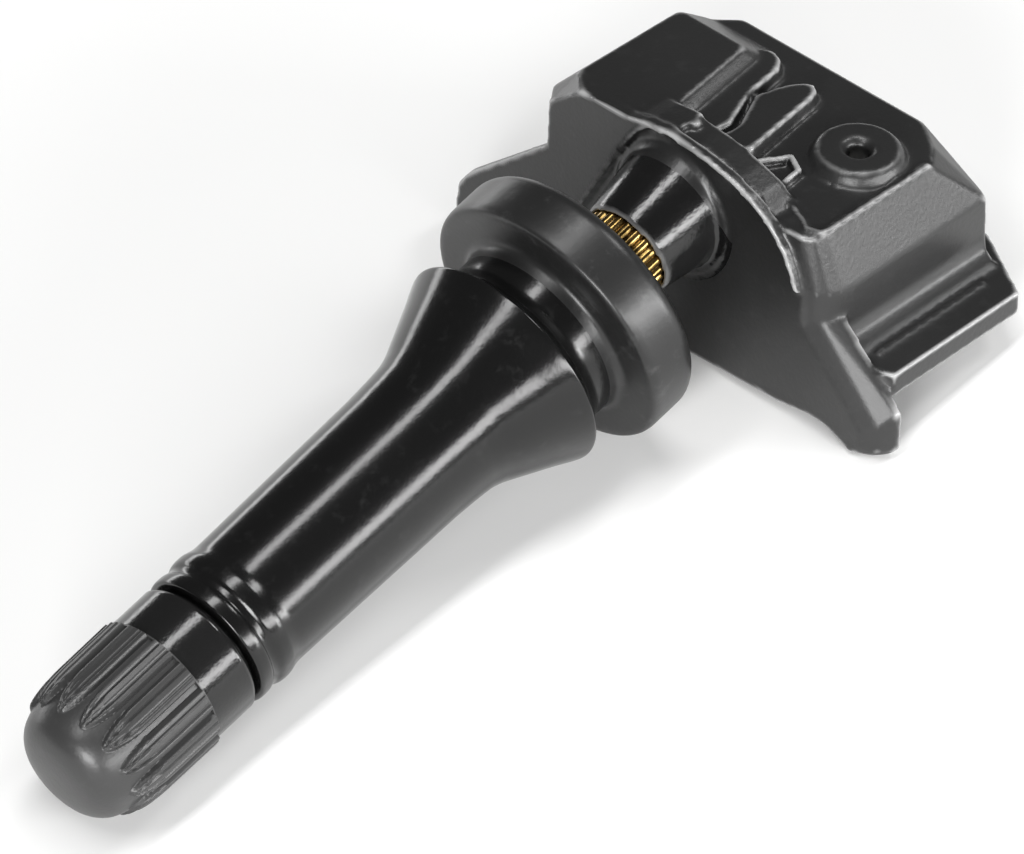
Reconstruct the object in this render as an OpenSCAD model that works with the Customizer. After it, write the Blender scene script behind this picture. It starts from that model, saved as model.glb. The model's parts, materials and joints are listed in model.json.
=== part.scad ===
// Snap-in rubber tyre valve with a pressure sensor, lying as it comes to rest.
// Row frame: +X runs from the cap to the sensor, +Y is left, +Z is up and the floor is z = 0.

/* [Rubber valve body] */
// Diameter of the flange that stops inside the rim
flange_diameter = 19.2; // [15:0.1:24]
// Thickness of the flange
flange_thickness = 4.2; // [2.5:0.1:6]
// Length of the groove that the rim's edge sits in
groove_length = 3.9; // [2.6:0.1:6]
// Diameter at the bottom of the groove
groove_diameter = 13; // [11:0.1:14]
// Diameter of the shoulder that snaps through the hole
shoulder_diameter = 16.2; // [14:0.1:18]
// Diameter of the shaft where the cone starts
shaft_wide = 10.4; // [9.4:0.1:12]
// Diameter of the shaft at the cap end
shaft_narrow = 9.8; // [9:0.1:11]
// Length from the flange's front face to the rubber lip under the cap
body_length = 32.5; // [28:0.5:45]

/* [Brass stem and valve core] */
// Outside diameter of the stem's thread
thread_diameter = 7.7; // [7.6:0.05:7.8]
// Length of stem that stands out of the rubber
thread_length = 11.1; // [9:0.1:13]
// Diameter of the air bore
air_bore = 3; // [2:0.1:4]
// Diameter of the splined neck between rubber and sensor
spline_diameter = 6.4; // [6.2:0.1:6.6]
// Number of splines on the neck
spline_count = 24; // [12:2:36]
// Diameter of the core pin
pin_diameter = 1.2; // [1:0.1:1.4]
// Travel of the core pin
pin_travel = 1.2; // [0.6:0.1:1.6]

/* [Valve cap] */
// Diameter of the cap over its grip
cap_diameter = 10.6; // [10.2:0.1:12]
// Diameter of the cap's smooth band
band_diameter = 9.9; // [9.4:0.1:11]
// Length of the cap
cap_length = 13.5; // [12.8:0.1:15]
// Number of grip lobes, each with three ribs
lobe_count = 14; // [10:1:18]

/* [Sensor housing] */
// Angle between the stem and the housing's base
stem_angle = 14.6; // [5:0.1:25]
// Distance from the flange face to the housing's front face
housing_front = 11.7; // [11:0.1:14]
// Depth of the housing's box behind its front face
box_depth = 16.8; // [15:0.1:20]
// Half width of the housing's box
box_half = 13.6; // [13.2:0.1:16]
// Height of the box's top above the stem axis at the flange
box_top = 6.3; // [6:0.1:8]
// Height of the raised block above the box's top
block_rise = 2.2; // [1:0.1:3]
// Height of the shelf and ribs above the box's top
relief_rise = 1.1; // [0.6:0.1:1.6]
// Depth of the front plate's recess round the collar
recess_depth = 0.45; // [0.2:0.05:0.7]
// Half width over the two feet
feet_half = 18.9; // [17:0.1:21]
// How far the feet reach below the stem axis at the flange
feet_drop = 8.3; // [7.4:0.1:10]
// Wall thickness of the box
wall = 1.4; // [1:0.1:1.8]
// Diameter of the pressure port's boss
port_diameter = 5.9; // [4:0.1:7]

/* [Hidden] */
$fn = 72;
e = 0.01;
mouth = -body_length - thread_length;
cap_open = -body_length - 0.6;
cap_end = cap_open - cap_length;
thread_r = thread_diameter / 2;
cap_r = cap_diameter / 2;
valley_phase = 3;
sole_draft = 0.06;
band_r = band_diameter / 2;
pin_r = pin_diameter / 2;
running = 0.05;
plunger_room = mouth + 15.7 + pin_travel;
brim_top = -2.4;
brim_under = -4.2;
crease = 2.5;
plate_back = housing_front + 2.5;
box_back = housing_front + box_depth;
brim_back = box_back + 1.9;
brim_half = box_half + 4.2;
foot_back = plate_back;
port_at = [box_back - 7.1, -7.9];
cell_r = 6.2;
collar_front = 7.9;
cell_at = [plate_back + 6.5, box_half - wall - 6.85];
board_top = -0.6;
board_under = -1.4;
ceiling = box_top - wall;
// The cap's outside, as stations along the stem axis and radii.
cap_outline = [
  [cap_end, 0],
  [cap_end + 0.06, cap_r * 0.26],
  [cap_end + 0.25, cap_r * 0.48],
  [cap_end + 0.7, cap_r * 0.7],
  [cap_end + 1.3, cap_r * 0.83],
  [cap_end + 2.2, cap_r * 0.93],
  [cap_end + 3.4, cap_r * 0.98],
  [cap_end + 4.8, cap_r],
  [cap_open - 4.1, cap_r],
  [cap_open - 3.6, band_r + 0.05],
  [cap_open - 3.2, band_r],
  [cap_open - 0.25, band_r],
  [cap_open, band_r - 0.2]
];

// The rest position: the housing turns about Y by rest_tilt until the cap and both feet touch z = 0.
function station(t, r) = [t * cos(stem_angle) + r * sin(stem_angle), t * sin(stem_angle) - r * cos(stem_angle)];
function lowered(p, g) = -p[0] * sin(g) + p[1] * cos(g);
function forward(p, g) = p[0] * cos(g) + p[1] * sin(g);
function cap_low(g) = min([for (p = cap_outline) lowered(station(p[0], p[1]), g)]);
function feet_low(g) = lowered([foot_back, -feet_drop], g);
function settle(lo, hi, n) =
  n == 0 ? (lo + hi) / 2
  : cap_low((lo + hi) / 2) < feet_low((lo + hi) / 2) ? settle((lo + hi) / 2, hi, n - 1)
  : settle(lo, (lo + hi) / 2, n - 1);
rest_tilt = settle(-10, 30, 40);
rest_low = feet_low(rest_tilt);
rest_left = min([for (p = cap_outline) forward(station(p[0], -p[1]), rest_tilt)]);
rest_right = max(forward([brim_back, brim_top], rest_tilt), forward([brim_back, brim_under], rest_tilt));
rest_shift = [-(rest_left + rest_right) / 2, 0, -rest_low];

// Puts the housing's own frame into the row frame.
module rest() {
  translate(rest_shift)
    rotate([0, rest_tilt, 0])
      children();
}

// Puts a piece made along +Z onto the stem axis.
module on_stem() {
  rest()
    rotate([0, 90 - stem_angle, 0])
      children();
}

// Turns a list of [station, radius] into a solid of revolution.
module turned(points) {
  rotate_extrude()
    polygon([for (p = points) [p[1], p[0]]]);
}

// The brass stem's outside as a flat outline, shared with the rubber bonded to it.
stem_outline = [
  [mouth, 0],
  [mouth, thread_r - 0.45],
  [mouth + 0.5, thread_r],
  [-body_length - 0.9, thread_r],
  [-body_length - 0.6, thread_r - 0.5],
  [-body_length + 1.2, thread_r - 0.5],
  [-body_length + 1.6, thread_r - 0.2],
  [-body_length + 3, thread_r - 0.2],
  [-body_length + 3.4, thread_r - 0.75],
  [-12, thread_r - 0.75],
  [-9, thread_r],
  [-7.4, thread_r],
  [-7, thread_r - 0.6],
  [-4.5, thread_r - 0.6],
  [-2, thread_r + 0.35],
  [1.6, thread_r + 0.35],
  [2, spline_diameter / 2],
  [9, spline_diameter / 2],
  [9.4, spline_diameter / 2 - 0.4],
  [11, spline_diameter / 2 - 0.4],
  [11.2, spline_diameter / 2 - 0.9],
  [12.4, spline_diameter / 2 - 0.9],
  [12.6, spline_diameter / 2 - 0.4],
  [14.2, spline_diameter / 2 - 0.4],
  [14.2, 0]
];

// The rubber's outside, from the lip under the cap to the back of the flange.
module rubber_outline() {
  polygon([for (p = [
    [-body_length, 0],
    [-body_length, shaft_narrow / 2 - 0.15],
    [-body_length + 0.2, shaft_narrow / 2 + 0.12],
    [-body_length + 0.75, shaft_narrow / 2 + 0.12],
    [-body_length + 1.05, shaft_narrow / 2 - 0.2],
    [-body_length + 1.4, shaft_narrow / 2 - 0.2],
    [-body_length + 1.7, shaft_narrow / 2 + 0.2],
    [-body_length + 2, shaft_narrow / 2 + 0.3],
    [-body_length + 2.6, shaft_narrow / 2 + 0.3],
    [-body_length + 3, shaft_narrow / 2 + 0.15],
    [-body_length + 3.5, shaft_narrow / 2 + 0.02],
    [-body_length + 4.2, shaft_narrow / 2],
    [-groove_length - 10, shaft_wide / 2 - 0.08],
    [-groove_length - 7.6, shaft_wide / 2],
    [-groove_length - 6.8, shaft_wide / 2 + 0.12],
    [-groove_length - 6, shaft_wide / 2 + 0.34],
    [-groove_length - 4.6, shoulder_diameter / 2 - 1.98],
    [-groove_length - 2.2, shoulder_diameter / 2 - 0.96],
    [-groove_length - 0.6, shoulder_diameter / 2 - 0.3],
    [-groove_length - 0.2, shoulder_diameter / 2 - 0.06],
    [-groove_length, shoulder_diameter / 2 - 0.2],
    [-groove_length + 0.1, shoulder_diameter / 2 - 0.5],
    [-groove_length + 0.7, groove_diameter / 2 + 0.3],
    [-groove_length + 1.1, groove_diameter / 2 + 0.05],
    [-groove_length + 1.5, groove_diameter / 2],
    [-0.5, groove_diameter / 2],
    [-0.15, groove_diameter / 2 + 0.15],
    [0, groove_diameter / 2 + 0.5],
    [0, flange_diameter / 2 - 0.45],
    [0.12, flange_diameter / 2 - 0.15],
    [0.4, flange_diameter / 2],
    [flange_thickness - 0.8, flange_diameter / 2],
    [flange_thickness - 0.24, flange_diameter / 2 - 0.24],
    [flange_thickness, flange_diameter / 2 - 0.8],
    [flange_thickness, 0]
  ]) [p[1], p[0]]]);
}

// Moulded rubber body, bonded around the brass stem
module valve_body() {
  color("#1c1c1e")
    on_stem()
      rotate_extrude()
        difference() {
          rubber_outline();
          polygon([for (p = stem_outline) [p[1], p[0]]]);
        }
}

// Brass stem with its thread stand-in, core seat, air bore, cross holes and splined neck
module valve_stem() {
  color("#b8924a")
    on_stem()
      difference() {
        turned(stem_outline);
        translate([0, 0, mouth - 1])
          cylinder(h = 6.6, d = 5.24);
        turned([[mouth + 5.5, 0], [mouth + 5.5, 2.62], [mouth + 6.6, 2], [mouth + 6.6, 0]]);
        translate([0, 0, mouth + 6.5])
          cylinder(h = plunger_room - mouth - 6.4, d = 4);
        turned([[plunger_room, 0], [plunger_room, 2], [plunger_room + 1.1, air_bore / 2], [plunger_room + 1.1, 0]]);
        translate([0, 0, plunger_room + 1])
          cylinder(h = 6.4 - plunger_room, d = air_bore);
        for (a = [0, 90])
          rotate([0, 0, a + 45])
            translate([0, 0, 6.4])
              rotate([0, 90, 0])
                cylinder(h = 12, d = 1.7, center = true, $fn = 24);
        for (i = [0:spline_count - 1])
          rotate([0, 0, i * 360 / spline_count])
            translate([spline_diameter / 2 + 0.12, 0, 4.6])
              cylinder(h = 3.9, d = 0.56, $fn = 12);
      }
}

// Threaded plug and barrel of the valve core, with two flats for the core key
module core_plug() {
  color("#c9a45c")
    on_stem()
      difference() {
        union() {
          translate([0, 0, mouth + 0.7])
            cylinder(h = 4.5, d = 5.24);
          turned([[mouth + 5.1, 0], [mouth + 5.1, 2.3], [mouth + 5.6, 1.7], [mouth + 6.4, 1.7], [mouth + 6.4, 0]]);
          translate([0, 0, mouth + 6.3])
            cylinder(h = 5.7, d = 3.4);
        }
        translate([0, 0, mouth])
          cylinder(h = 5.2, r = pin_r + running);
        translate([0, 0, mouth + 5])
          cylinder(h = 6.2, d = 2.6);
        translate([0, 0, mouth + 11])
          cylinder(h = 2, r = pin_r + running);
        for (s = [-1, 1])
          translate([s * 2.35, 0, mouth + 1.4])
            cube([1.7, 8, 2.2], center = true);
      }
}

// Soft ring that seals the core's barrel in the stem
module core_barrel_seal() {
  color("#d8d4c8")
    on_stem()
      difference() {
        turned([[mouth + 6.6, 0], [mouth + 6.6, 1.96], [mouth + 8.2, 1.96], [mouth + 8.6, 1.7], [mouth + 8.6, 0]]);
        translate([0, 0, mouth])
          cylinder(h = 12, d = 3.4);
      }
}

// Pin of the valve core with the collar its spring pushes on
module core_pin() {
  color("#c9a45c")
    on_stem() {
      translate([0, 0, mouth + 0.35])
        cylinder(h = 13.6, r = pin_r, $fn = 48);
      translate([0, 0, mouth + 5.3])
        cylinder(h = 0.7, r = 1.2, $fn = 48);
    }
}

// Coil spring that keeps the core shut
module core_spring() {
  coils = 5.5;
  steps = 132;
  low = mouth + 6.15;
  tall = 4.7;
  wire = 0.15;
  turn_r = 0.95;
  points = [for (i = [0:steps], k = [0:7])
    let (
      a = i * 360 * coils / steps,
      z = low + wire + (tall - 2 * wire + 0.1) * i / steps,
      rr = turn_r + wire * cos(k * 45)
    ) [rr * cos(a), rr * sin(a), z + wire * sin(k * 45)]];
  sides = [for (i = [0:steps - 1], k = [0:7])
    [i * 8 + k, i * 8 + (k + 1) % 8, (i + 1) * 8 + (k + 1) % 8, (i + 1) * 8 + k]];
  first = [[for (k = [7:-1:0]) k]];
  last = [[for (k = [0:7]) steps * 8 + k]];
  color("#9a9a9a")
    on_stem()
      polyhedron(points, concat(sides, first, last));
}

// Cup on the end of the pin that holds the seat seal
module core_plunger() {
  color("#c9a45c")
    on_stem()
      difference() {
        translate([0, 0, mouth + 12.6])
          cylinder(h = 1.1, d = 3, $fn = 48);
        translate([0, 0, mouth + 12])
          cylinder(h = 3, r = pin_r, $fn = 48);
      }
}

// Rubber seal that closes the end of the barrel
module core_poppet_seal() {
  color("#2a2a2a")
    on_stem()
      difference() {
        translate([0, 0, mouth + 12])
          cylinder(h = 0.6, d = 2.8, $fn = 48);
        translate([0, 0, mouth + 11])
          cylinder(h = 3, r = pin_r, $fn = 48);
      }
}

// Screw cap with grip lobes and a smooth band at its open end
module valve_cap() {
  color("#232325")
    on_stem()
      difference() {
        turned(cap_outline_closed());
        translate([0, 0, mouth - 0.6])
          cylinder(h = 20, r = thread_r + running);
        turned([[cap_open - 0.5, 0], [cap_open - 0.5, thread_r + running], [cap_open + 0.1, thread_r + 0.5], [cap_open + 0.1, 0]]);
        for (i = [0:lobe_count - 1])
          rotate([0, 0, valley_phase + i * 360 / lobe_count]) {
            translate([cap_r + 0.3, 0, cap_end + 1.6])
              cylinder(h = cap_length - 5.4, d = 1.1, $fn = 16);
            translate([cap_r + 0.3, 0, cap_end + 1.4])
              cylinder(h = 2.6, r1 = 1.05, r2 = 0.52, $fn = 16);
            for (k = [0.34, 0.66])
              rotate([0, 0, k * 360 / lobe_count])
                translate([cap_r + 0.06, 0, cap_end + 2.8])
                  cylinder(h = cap_length - 6.6, d = 0.5, $fn = 8);
          }
      }
}

// The cap's outline closed on the axis.
function cap_outline_closed() = concat(cap_outline, [[cap_open, 0]]);

// Soft disc inside the cap that seals on the stem's mouth
module cap_gasket() {
  color("#3a3a3a")
    on_stem()
      translate([0, 0, mouth - 0.6])
        cylinder(h = 0.6, r = thread_r - 0.05);
}

// The arch over the collar, seen from the cap: right end first, lower on the left along the block.
arch = [
  [-11.6, 1],
  [-11.4, 2.4],
  [-10.9, 3.7],
  [-10.1, 5.2],
  [-8.7, 6.7],
  [-7, 7.8],
  [-5.1, 8.5],
  [-3.2, 8.95],
  [-1.4, 9.2],
  [0.5, 9.3],
  [2.4, 9.05],
  [4.1, 8.6],
  [8.1, 8.45],
  [10.9, 6.3],
  [11, 2.1],
  [11.5, -3],
  [-11.5, -3]
];

// A leg and its foot: where they face the cap, at the ridge beside that face, and at their back;
// the left one is broader in front.
function leg_face(half) = [
  [8.5, 2.2],
  [11, 0],
  [half - 1.8, -6.4],
  [half - 1.8, -feet_drop + 0.8],
  [half - 2.4, -feet_drop],
  [15.6, -feet_drop + sole_draft],
  [14.8, -feet_drop + 0.5],
  [8.5, -feet_drop + 3.6]
];
function leg_ridge(half) = [
  [9, 3],
  [12, 1],
  [half - 0.8, -5.6],
  [half - 0.7, -feet_drop + 0.7],
  [half - 1.3, -feet_drop],
  [15.6, -feet_drop + sole_draft],
  [14.8, -feet_drop + 0.5],
  [9, -feet_drop + 3.8]
];
function leg_back(half, fall) = [
  [9.5, 3.4 - fall],
  [12.1, 1.9 - fall],
  [half, -4.7 - fall],
  [half, -feet_drop + 0.6],
  [half - 0.6, -feet_drop],
  [15.6, -feet_drop + sole_draft],
  [14.8, -feet_drop + 0.5],
  [9.5, -feet_drop + 4]
];
function leg_broad(half) = [
  [9, 3.6],
  [11.2, 2.3],
  [half - 1.1, -3.5],
  [half - 0.1, -4.9],
  [half + 0.1, -7.2],
  [half - 0.6, -feet_drop + 0.3],
  [15.6, -feet_drop + 0.3],
  [14.8, -feet_drop + 0.7],
  [9, -feet_drop + 4]
];
function on_side(points, s) = [for (p = points) [s * p[0], p[1]]];

// The lower apron between the legs, from the middle to the leg.
apron = [
  [0, 3],
  [11, 0.6],
  [15.2, -feet_drop + 0.8],
  [14.6, -feet_drop + 0.9],
  [12.5, -feet_drop + 0.95],
  [10, -feet_drop + 0.5],
  [5, -feet_drop + 0.25],
  [0, -feet_drop + 0.15]
];

// The front plate's recess: under the arch's thin lip, and open towards the floor.
recess_left = [[3.6, 7.9], [5.1, 5.3], [7.9, -0.2], [9.1, -3], [9.1, -13]];
lip = 0.45;

// Stands a flat outline up so that it runs back along +X from x = at.
module run_back(at, depth) {
  translate([at, 0, 0])
    rotate([90, 0, 90])
      linear_extrude(depth)
        children();
}

// A raised pad on the box's top whose flanks lean in by draft as it rises.
module pad(points, rise, draft) {
  low = [for (k = [0:1]) min([for (p = points) p[k]])];
  high = [for (k = [0:1]) max([for (p = points) p[k]])];
  middle = (low + high) / 2;
  span = high - low;
  translate([middle[0], middle[1], box_top - 0.2])
    linear_extrude(rise + 0.2, scale = [1 - 2 * draft / span[0], 1 - 2 * draft / span[1]], slices = 1, $fn = 4)
      polygon([for (p = points) p - middle]);
}

// A narrow raised line on the box's top along a path.
module ridge(path, width, rise) {
  translate([0, 0, box_top - 0.1])
    linear_extrude(rise + 0.1)
      offset(delta = width / 2 - 0.05)
        for (i = [1:len(path) - 1])
          translate(path[i - 1])
            rotate(atan2(path[i][1] - path[i - 1][1], path[i][0] - path[i - 1][0]))
              translate([0, -0.05])
                square([norm(path[i] - path[i - 1]), 0.1]);
}

// A thin slice of plan outline, used to shape the box between two heights.
module slice(z, points) {
  translate([0, 0, z])
    linear_extrude(e)
      polygon(points);
}

// The box: upright sides to the crease, then sides that lean in to the top.
module box_outside() {
  hull() {
    slice(brim_under + 0.2, [
      [plate_back - 1.6, -11.4],
      [plate_back - 1, -box_half + 0.7],
      [plate_back - 0.2, -box_half + 0.2],
      [plate_back + 0.8, -box_half],
      [box_back, -box_half],
      [box_back, box_half - 0.4],
      [plate_back + 1.6, box_half - 0.4],
      [plate_back - 1, 10.8]
    ]);
    slice(crease, [
      [housing_front + 0.4, -11.2],
      [housing_front + 0.7, -box_half + 1.1],
      [housing_front + 1.3, -box_half + 0.45],
      [housing_front + 2.1, -box_half + 0.1],
      [housing_front + 3.2, -box_half],
      [box_back - 0.4, -box_half],
      [box_back, -box_half + 0.8],
      [box_back, box_half - 1.2],
      [box_back - 0.4, box_half - 0.4],
      [plate_back + 1.6, box_half - 0.4],
      [housing_front + 0.2, 10.8]
    ]);
    slice(box_top - e, [
      [housing_front + 0.6, -9.2],
      [housing_front + 0.85, -box_half + 2.8],
      [housing_front + 1.3, -box_half + 2.1],
      [housing_front + 2, -box_half + 1.75],
      [housing_front + 2.8, -box_half + 1.7],
      [box_back - 4.3, -box_half + 1.7],
      [box_back - 2.5, -box_half + 3.2],
      [box_back - 0.9, -box_half + 5.6],
      [box_back - 0.9, box_half - 6],
      [box_back - 4.3, box_half - 2.4],
      [housing_front + 2.2, box_half - 2],
      [housing_front + 0.2, 10.6]
    ]);
  }
}

// The brim around the open side, wider on the right, with cut rear corners
module brim() {
  translate([0, 0, brim_under])
    linear_extrude(brim_top - brim_under)
      polygon([
        [plate_back - 0.2, box_half + 1],
        [box_back - 1.5, box_half + 1],
        [brim_back, box_half - 2.5],
        [brim_back, -brim_half + 5.7],
        [box_back - 1.5, -brim_half],
        [plate_back + 0.3, -brim_half],
        [plate_back - 0.2, -brim_half + 1]
      ]);
  translate([plate_back + 1.2, -box_half - 2, brim_top - 0.1])
    cube([box_depth - 6, 0.3, 0.28]);
}

// The cove between the box's right side and the brim
module cove() {
  run_back(plate_back - 0.1, box_depth - 2.8)
    polygon([
      [-box_half + 0.5, brim_top + 1.9],
      [-box_half, brim_top + 1.8],
      [-box_half - 0.35, brim_top + 0.9],
      [-box_half - 0.9, brim_top + 0.35],
      [-box_half - 1.7, brim_top - 0.1],
      [-box_half + 0.5, brim_top - 0.1]
    ]);
}

// The raised block on the left, with its front corner cut and its edges bevelled
module block() {
  top = box_top + block_rise;
  hull() {
    slice(top - e, [
      [housing_front + 0.1, 2.2],
      [housing_front + 0.1, 8.1],
      [housing_front + 1.6, 9.7],
      [box_back - 5.7, 9.5],
      [box_back - 5.5, 9.3],
      [box_back - 5.5, 3.9],
      [box_back - 5.7, 3.7],
      [housing_front + 3.3, 3.2]
    ]);
    slice(box_top, [
      [housing_front, 1.4],
      [housing_front, 10.7],
      [housing_front + 1.3, 11.7],
      [box_back - 4.6, 11.4],
      [box_back - 2.8, 10],
      [box_back - 2.5, 9.4],
      [box_back - 2.4, 3.9],
      [box_back - 2.9, 2.8],
      [box_back - 3.8, 2.4],
      [housing_front + 3, 2.2]
    ]);
    slice(crease + 1, [
      [housing_front + 0.2, 1.4],
      [housing_front + 0.2, 10.8],
      [plate_back + 1.4, box_half - 0.6],
      [box_back - 4.6, box_half - 0.6],
      [box_back - 2.6, 10],
      [box_back - 2.6, 4],
      [box_back - 4.4, 3],
      [housing_front + 3, 2]
    ]);
  }
}

// The shelf beside the block, the finger, the ridges round the pockets, the pip and the port boss
module top_relief() {
  pad([
    [housing_front + 2.4, 4.2],
    [box_back - 3.4, 4.6],
    [box_back - 2.7, 3.4],
    [box_back - 3.1, 2.2],
    [box_back - 4.1, 1.4],
    [box_back - 7.6, 0.9],
    [housing_front + 5.5, -0.7],
    [housing_front + 3.2, -0.3]
  ], relief_rise, 0.55);
  pad([
    [housing_front + 3.6, -0.4],
    [housing_front + 5.6, -0.7],
    [box_back - 7.6, 1.1],
    [box_back - 5.2, 0.3],
    [box_back - 4, -0.6],
    [box_back - 3.7, -1.3],
    [box_back - 4.1, -2],
    [box_back - 5, -2.4],
    [housing_front + 4.2, -3.5],
    [housing_front + 3.2, -2.8]
  ], relief_rise, 0.45);
  ridge([
    [housing_front + 3.2, -3.5],
    [housing_front + 4.6, -3.9],
    [housing_front + 6.3, -5],
    [housing_front + 5.6, -6.3],
    [housing_front + 3, -6.6]
  ], 0.45, relief_rise - 0.45);
  ridge([
    [housing_front + 3.2, -7.1],
    [housing_front + 2.6, -8.8],
    [housing_front + 1.7, -box_half + 3.1],
    [housing_front + 2, -box_half + 2.1],
    [housing_front + 2.8, -box_half + 1.95],
    [box_back - 4.5, -box_half + 1.95]
  ], 0.4, 0.25);
  translate([housing_front + 2.4, 0.1, box_top])
    cylinder(h = block_rise + 0.55, d1 = 1.3, d2 = 0.8, $fn = 24);
  translate([port_at[0], port_at[1], box_top - 0.1])
    cylinder(h = 0.9, d1 = port_diameter + 0.9, d2 = port_diameter);
  translate([port_at[0], port_at[1], box_top + 0.7])
    cylinder(h = 0.3, d1 = port_diameter, d2 = port_diameter - 0.5);
}

// The wall under the arch: flat on the left, with a sunk bar on the right, both behind the lip's groove
module arch_wall() {
  run_back(housing_front + 0.8, 2.7)
    offset(delta = -1)
      polygon(arch);
  run_back(housing_front + 1.2, 2.3)
    offset(delta = -0.6)
      polygon(concat([for (i = [4:9]) arch[i]], [[1, 9.25], [1, 3], [-9.4, 3]]));
  run_back(housing_front + 0.8, 2.7)
    offset(delta = -0.2)
      polygon(concat([[0, 3]], [[0, 9.3]], [for (i = [9:12]) arch[i]], [[8.1, 3]]));
}

// The front plate: arch, apron and the two legs with their feet
module front_plate() {
  run_back(housing_front, 0.9)
    polygon(arch);
  run_back(housing_front, plate_back - housing_front)
    polygon(apron);
  run_back(housing_front + recess_depth, plate_back - housing_front - recess_depth)
    polygon(on_side(apron, -1));
  hull() {
    run_back(housing_front + recess_depth, 0.1)
      polygon(on_side(leg_face(feet_half), -1));
    run_back(housing_front + 1, 0.1)
      polygon(on_side(leg_ridge(feet_half), -1));
    run_back(plate_back - 0.5, 0.5)
      polygon(on_side(leg_back(feet_half, 0), -1));
  }
  hull() {
    run_back(housing_front, 0.8)
      polygon(leg_broad(feet_half));
    run_back(housing_front + 1.3, plate_back - housing_front - 1.3)
      polygon(leg_back(feet_half, 1.4));
  }
}

// The collar that takes the stem's neck, rounded at its front, on a flat boss of the plate
module collar() {
  rotate([0, 90 - stem_angle, 0])
    turned([
      [collar_front, 0],
      [collar_front, spline_diameter / 2 + 0.15],
      [collar_front + 0.2, spline_diameter / 2 + 0.36],
      [collar_front + 0.7, spline_diameter / 2 + 0.48],
      [14.3, spline_diameter / 2 + 1.4],
      [14.3, 0]
    ]);
  translate([housing_front + 0.2, 0, (housing_front + 0.2) * tan(stem_angle)])
    rotate([0, 90, 0]) {
      cylinder(h = 0.2, r1 = 4.75, r2 = 4.9);
      translate([0, 0, 0.2])
        cylinder(h = 1.2, r = 4.9);
    }
}

// The recess of the front plate around the collar and down the apron
module front_recess() {
  run_back(housing_front - 1, 1 + recess_depth)
    offset(delta = -lip)
      polygon(concat([for (i = [1:10]) arch[i]], recess_left, [[-11.4, -13]]));
  run_back(housing_front - 1, 1 + recess_depth)
    polygon([[-10.8, 2.3], [-10.8, -12.5], [-14, -12.5], [-14, 2.3]]);
}

// Moulded housing: front plate with feet, box, brim, collar and port
module housing() {
  color("#3b3b3d")
    rest()
      difference() {
        union() {
          difference() {
            union() {
              front_plate();
              arch_wall();
              block();
              box_outside();
              brim();
              cove();
              top_relief();
            }
            front_recess();
          }
          collar();
        }
        rotate([0, 90 - stem_angle, 0])
          turned([
            [collar_front - 1, 0],
            [collar_front - 1, spline_diameter / 2],
            [9, spline_diameter / 2],
            [9.4, spline_diameter / 2 - 0.4],
            [11, spline_diameter / 2 - 0.4],
            [11.2, spline_diameter / 2 - 0.9],
            [12.4, spline_diameter / 2 - 0.9],
            [12.6, spline_diameter / 2 - 0.4],
            [14.2, spline_diameter / 2 - 0.4],
            [14.2, 0]
          ]);
        cavity(brim_under - 1, crease + e);
        upper_cavity();
        translate([plate_back + 1.2, 4, ceiling - 0.1])
          cube([7, 5, block_rise]);
        translate([port_at[0], port_at[1], ceiling - 1])
          cylinder(h = 6, d = 1.6, $fn = 32);
        translate([port_at[0], port_at[1], box_top + 0.6])
          cylinder(h = 0.41, d1 = 1.6, d2 = 2.5, $fn = 32);
        translate([port_at[0], port_at[1], ceiling - 1])
          cylinder(h = 1.4, d = 3.4, $fn = 32);
      }
}

// The space inside the box below the crease, between two heights
module cavity(from, to) {
  translate([plate_back + 0.1, -box_half + wall, from])
    cube([box_depth - 2.6 - wall, 2 * (box_half - wall) - 0.4, to - from]);
}

// The narrower space above the crease
module upper_cavity() {
  translate([0, 0, crease])
    linear_extrude(ceiling - crease)
      polygon([
        [plate_back + 0.1, -box_half + 3.4],
        [box_back - 6, -box_half + 3.4],
        [box_back - 3.4, -box_half + 6.4],
        [box_back - 3.4, box_half - 6.8],
        [box_back - 6, box_half - 4],
        [plate_back + 0.1, box_half - 4]
      ]);
}

// Circuit board
module circuit_board() {
  color("#1f5b3a")
    rest()
      translate([plate_back + 0.2, -box_half + wall + 0.1, board_under])
        cube([box_depth - 2.8 - wall, 2 * (box_half - wall) - 0.6, board_top - board_under]);
}

// Coin cell, lying on its lower tab
module battery_cell() {
  color("#c4c6c9")
    rest()
      translate([cell_at[0], cell_at[1], board_top + 0.2]) {
        cylinder(h = 0.4, r = cell_r - 0.6);
        translate([0, 0, 0.4])
          cylinder(h = 2.1, r = cell_r);
      }
}

// Strap from the top of the cell to the board
module battery_tab_positive() {
  color("#b9bcc0")
    rest()
      translate([cell_at[0] - 1, cell_at[1] - cell_r - 0.8, board_top]) {
        translate([0, 0, 2.7])
          cube([2, cell_r + 1, 0.2]);
        cube([2, 0.2, 2.9]);
        translate([0, -0.8, 0])
          cube([2, 1, 0.2]);
      }
}

// Strap under the cell to the board
module battery_tab_negative() {
  color("#b9bcc0")
    rest()
      translate([cell_at[0] - 1, cell_at[1] - 3, board_top])
        cube([2, 8, 0.2]);
}

// Pressure sensor with its own radio chip, under the port
module sensor_chip() {
  color("#202124")
    rest()
      difference() {
        translate([port_at[0] - 2.5, port_at[1] - 2.5, board_top])
          cube([5, 5, 1.8]);
        translate([port_at[0], port_at[1], board_top + 0.8])
          cylinder(h = 2, d = 1.2, $fn = 24);
      }
}

// Soft sleeve from the chip up to the port
module port_seal() {
  color("#5a6068")
    rest()
      difference() {
        translate([port_at[0], port_at[1], board_top + 1.8])
          cylinder(h = ceiling - board_top - 1.8, d = 4.4, $fn = 48);
        translate([port_at[0], port_at[1], board_top])
          cylinder(h = 8, d = 2.4, $fn = 48);
      }
}

// Disc that lets air through and keeps water out
module port_membrane() {
  color("#e6e6e2")
    rest()
      translate([port_at[0], port_at[1], ceiling])
        cylinder(h = 0.4, d = 3.4, $fn = 32);
}

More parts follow.
